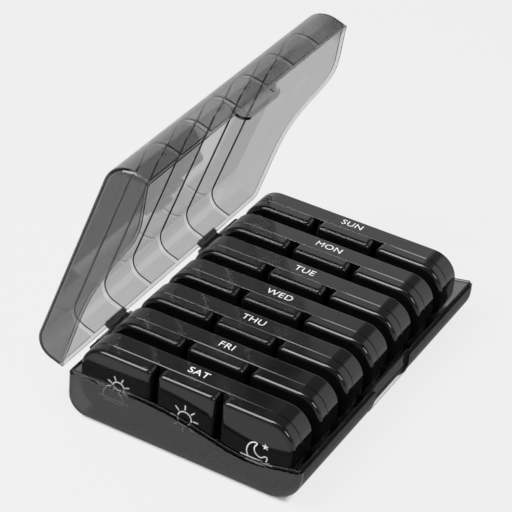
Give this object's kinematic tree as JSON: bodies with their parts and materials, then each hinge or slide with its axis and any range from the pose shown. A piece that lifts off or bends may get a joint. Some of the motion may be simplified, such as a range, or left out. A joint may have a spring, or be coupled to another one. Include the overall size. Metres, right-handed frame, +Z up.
{
  "type": "weekly pill organizer",
  "caption": "Tray with a hinged see-through lid holding a row of lift-out day cases, each with flip lids over its pill pockets.",
  "frame": {"origin": "centre of the tray's flat underside", "axes": "+X from the hinge side to the latch side, +Y from the first day case at the front to the last at the back, +Z up"},
  "size_m": [0.1233, 0.1592, 0.1242],
  "materials": {
    "smoke_plastic": "clear smoke-tinted gloss",
    "black_gloss": "moulded high gloss",
    "white_print": "pad print"
  },
  "bodies": {
    "base": {"base_tray": "smoke_plastic", "hinge_pin_front": "black_gloss", "hinge_pin_rear": "black_gloss"},
    "outer_lid": {"outer_lid": "smoke_plastic"},
    "case_sat": {"case_sat": "black_gloss"},
    "lid_sat_morning": {"lid_sat_morning": "black_gloss"},
    "lid_sat_midday": {"lid_sat_midday": "black_gloss"},
    "lid_sat_night": {"lid_sat_night": "black_gloss"},
    "case_fri": {"case_fri": "black_gloss"},
    "lid_fri_morning": {"lid_fri_morning": "black_gloss"},
    "lid_fri_midday": {"lid_fri_midday": "black_gloss"},
    "lid_fri_night": {"lid_fri_night": "black_gloss"},
    "case_thu": {"case_thu": "black_gloss"},
    "lid_thu_morning": {"lid_thu_morning": "black_gloss"},
    "lid_thu_midday": {"lid_thu_midday": "black_gloss"},
    "lid_thu_night": {"lid_thu_night": "black_gloss"},
    "case_wed": {"case_wed": "black_gloss"},
    "lid_wed_morning": {"lid_wed_morning": "black_gloss"},
    "lid_wed_midday": {"lid_wed_midday": "black_gloss"},
    "lid_wed_night": {"lid_wed_night": "black_gloss"},
    "case_tue": {"case_tue": "black_gloss"},
    "lid_tue_morning": {"lid_tue_morning": "black_gloss"},
    "lid_tue_midday": {"lid_tue_midday": "black_gloss"},
    "lid_tue_night": {"lid_tue_night": "black_gloss"},
    "case_mon": {"case_mon": "black_gloss"},
    "lid_mon_morning": {"lid_mon_morning": "black_gloss"},
    "lid_mon_midday": {"lid_mon_midday": "black_gloss"},
    "lid_mon_night": {"lid_mon_night": "black_gloss"},
    "case_sun": {"case_sun": "black_gloss"},
    "lid_sun_morning": {"lid_sun_morning": "black_gloss"},
    "lid_sun_midday": {"lid_sun_midday": "black_gloss"},
    "lid_sun_night": {"lid_sun_night": "black_gloss"}
  },
  "joints": [
    {"name": "outer_lid_hinge", "type": "hinge", "parent": "base", "child": "outer_lid", "pos_m": [-0.05585, 0, 0.0177], "axis": [0, -1, 0], "range_deg": [-71.4, 38.6]},
    {"name": "case_sat_lift", "type": "slide", "parent": "base", "child": "case_sat", "axis": [0.3746, 0, 0.9272], "range_m": [0, 0.3114]},
    {"name": "lid_sat_morning_hinge", "type": "hinge", "parent": "case_sat", "child": "lid_sat_morning", "pos_m": [-0.0274, -0.06735, 0.003], "axis": [1, 0, 0], "range_deg": [0, 90]},
    {"name": "lid_sat_midday_hinge", "type": "hinge", "parent": "case_sat", "child": "lid_sat_midday", "pos_m": [-0.0024, -0.06735, 0.003], "axis": [1, 0, 0], "range_deg": [0, 90]},
    {"name": "lid_sat_night_hinge", "type": "hinge", "parent": "case_sat", "child": "lid_sat_night", "pos_m": [0.0226, -0.06735, 0.003], "axis": [1, 0, 0], "range_deg": [0, 90]},
    {"name": "case_fri_lift", "type": "slide", "parent": "base", "child": "case_fri", "axis": [0.3746, 0, 0.9272], "range_m": [0, 0.3025]},
    {"name": "lid_fri_morning_hinge", "type": "hinge", "parent": "case_fri", "child": "lid_fri_morning", "pos_m": [-0.0274, -0.04535, 0.003], "axis": [1, 0, 0], "range_deg": [0, 90]},
    {"name": "lid_fri_midday_hinge", "type": "hinge", "parent": "case_fri", "child": "lid_fri_midday", "pos_m": [-0.0024, -0.04535, 0.003], "axis": [1, 0, 0], "range_deg": [0, 90]},
    {"name": "lid_fri_night_hinge", "type": "hinge", "parent": "case_fri", "child": "lid_fri_night", "pos_m": [0.0226, -0.04535, 0.003], "axis": [1, 0, 0], "range_deg": [0, 90]},
    {"name": "case_thu_lift", "type": "slide", "parent": "base", "child": "case_thu", "axis": [0.3746, 0, 0.9272], "range_m": [0, 0.2936]},
    {"name": "lid_thu_morning_hinge", "type": "hinge", "parent": "case_thu", "child": "lid_thu_morning", "pos_m": [-0.0274, -0.02335, 0.003], "axis": [1, 0, 0], "range_deg": [0, 90]},
    {"name": "lid_thu_midday_hinge", "type": "hinge", "parent": "case_thu", "child": "lid_thu_midday", "pos_m": [-0.0024, -0.02335, 0.003], "axis": [1, 0, 0], "range_deg": [0, 90]},
    {"name": "lid_thu_night_hinge", "type": "hinge", "parent": "case_thu", "child": "lid_thu_night", "pos_m": [0.0226, -0.02335, 0.003], "axis": [1, 0, 0], "range_deg": [0, 90]},
    {"name": "case_wed_lift", "type": "slide", "parent": "base", "child": "case_wed", "axis": [0.3746, 0, 0.9272], "range_m": [0, 0.2847]},
    {"name": "lid_wed_morning_hinge", "type": "hinge", "parent": "case_wed", "child": "lid_wed_morning", "pos_m": [-0.0274, -0.00135, 0.003], "axis": [1, 0, 0], "range_deg": [0, 90]},
    {"name": "lid_wed_midday_hinge", "type": "hinge", "parent": "case_wed", "child": "lid_wed_midday", "pos_m": [-0.0024, -0.00135, 0.003], "axis": [1, 0, 0], "range_deg": [0, 90]},
    {"name": "lid_wed_night_hinge", "type": "hinge", "parent": "case_wed", "child": "lid_wed_night", "pos_m": [0.0226, -0.00135, 0.003], "axis": [1, 0, 0], "range_deg": [0, 90]},
    {"name": "case_tue_lift", "type": "slide", "parent": "base", "child": "case_tue", "axis": [0.3746, 0, 0.9272], "range_m": [0, 0.2758]},
    {"name": "lid_tue_morning_hinge", "type": "hinge", "parent": "case_tue", "child": "lid_tue_morning", "pos_m": [-0.0274, 0.02065, 0.003], "axis": [1, 0, 0], "range_deg": [0, 90]},
    {"name": "lid_tue_midday_hinge", "type": "hinge", "parent": "case_tue", "child": "lid_tue_midday", "pos_m": [-0.0024, 0.02065, 0.003], "axis": [1, 0, 0], "range_deg": [0, 90]},
    {"name": "lid_tue_night_hinge", "type": "hinge", "parent": "case_tue", "child": "lid_tue_night", "pos_m": [0.0226, 0.02065, 0.003], "axis": [1, 0, 0], "range_deg": [0, 90]},
    {"name": "case_mon_lift", "type": "slide", "parent": "base", "child": "case_mon", "axis": [0.3746, 0, 0.9272], "range_m": [0, 0.2669]},
    {"name": "lid_mon_morning_hinge", "type": "hinge", "parent": "case_mon", "child": "lid_mon_morning", "pos_m": [-0.0274, 0.04265, 0.003], "axis": [1, 0, 0], "range_deg": [0, 90]},
    {"name": "lid_mon_midday_hinge", "type": "hinge", "parent": "case_mon", "child": "lid_mon_midday", "pos_m": [-0.0024, 0.04265, 0.003], "axis": [1, 0, 0], "range_deg": [0, 90]},
    {"name": "lid_mon_night_hinge", "type": "hinge", "parent": "case_mon", "child": "lid_mon_night", "pos_m": [0.0226, 0.04265, 0.003], "axis": [1, 0, 0], "range_deg": [0, 90]},
    {"name": "case_sun_lift", "type": "slide", "parent": "base", "child": "case_sun", "axis": [0.3746, 0, 0.9272], "range_m": [0, 0.258]},
    {"name": "lid_sun_morning_hinge", "type": "hinge", "parent": "case_sun", "child": "lid_sun_morning", "pos_m": [-0.0274, 0.06465, 0.003], "axis": [1, 0, 0], "range_deg": [0, 90]},
    {"name": "lid_sun_midday_hinge", "type": "hinge", "parent": "case_sun", "child": "lid_sun_midday", "pos_m": [-0.0024, 0.06465, 0.003], "axis": [1, 0, 0], "range_deg": [0, 90]},
    {"name": "lid_sun_night_hinge", "type": "hinge", "parent": "case_sun", "child": "lid_sun_night", "pos_m": [0.0226, 0.06465, 0.003], "axis": [1, 0, 0], "range_deg": [0, 90]}
  ],
  "couplings": [
    {"joint": "lid_sat_morning_hinge", "follows": "case_sat_lift", "rad_per_m": 5.0418},
    {"joint": "lid_sat_midday_hinge", "follows": "case_sat_lift", "rad_per_m": 5.0418},
    {"joint": "lid_sat_night_hinge", "follows": "case_sat_lift", "rad_per_m": 5.0418},
    {"joint": "lid_fri_morning_hinge", "follows": "case_fri_lift", "rad_per_m": 5.1901},
    {"joint": "lid_fri_midday_hinge", "follows": "case_fri_lift", "rad_per_m": 5.1901},
    {"joint": "lid_fri_night_hinge", "follows": "case_fri_lift", "rad_per_m": 5.1901},
    {"joint": "lid_thu_morning_hinge", "follows": "case_thu_lift", "rad_per_m": 5.3474},
    {"joint": "lid_thu_midday_hinge", "follows": "case_thu_lift", "rad_per_m": 5.3474},
    {"joint": "lid_thu_night_hinge", "follows": "case_thu_lift", "rad_per_m": 5.3474},
    {"joint": "lid_wed_morning_hinge", "follows": "case_wed_lift", "rad_per_m": 5.5146},
    {"joint": "lid_wed_midday_hinge", "follows": "case_wed_lift", "rad_per_m": 5.5146},
    {"joint": "lid_wed_night_hinge", "follows": "case_wed_lift", "rad_per_m": 5.5146},
    {"joint": "lid_tue_morning_hinge", "follows": "case_tue_lift", "rad_per_m": 5.6926},
    {"joint": "lid_tue_midday_hinge", "follows": "case_tue_lift", "rad_per_m": 5.6926},
    {"joint": "lid_tue_night_hinge", "follows": "case_tue_lift", "rad_per_m": 5.6926},
    {"joint": "lid_mon_morning_hinge", "follows": "case_mon_lift", "rad_per_m": 5.8824},
    {"joint": "lid_mon_midday_hinge", "follows": "case_mon_lift", "rad_per_m": 5.8824},
    {"joint": "lid_mon_night_hinge", "follows": "case_mon_lift", "rad_per_m": 5.8824},
    {"joint": "lid_sun_morning_hinge", "follows": "case_sun_lift", "rad_per_m": 6.0853},
    {"joint": "lid_sun_midday_hinge", "follows": "case_sun_lift", "rad_per_m": 6.0853},
    {"joint": "lid_sun_night_hinge", "follows": "case_sun_lift", "rad_per_m": 6.0853}
  ]
}
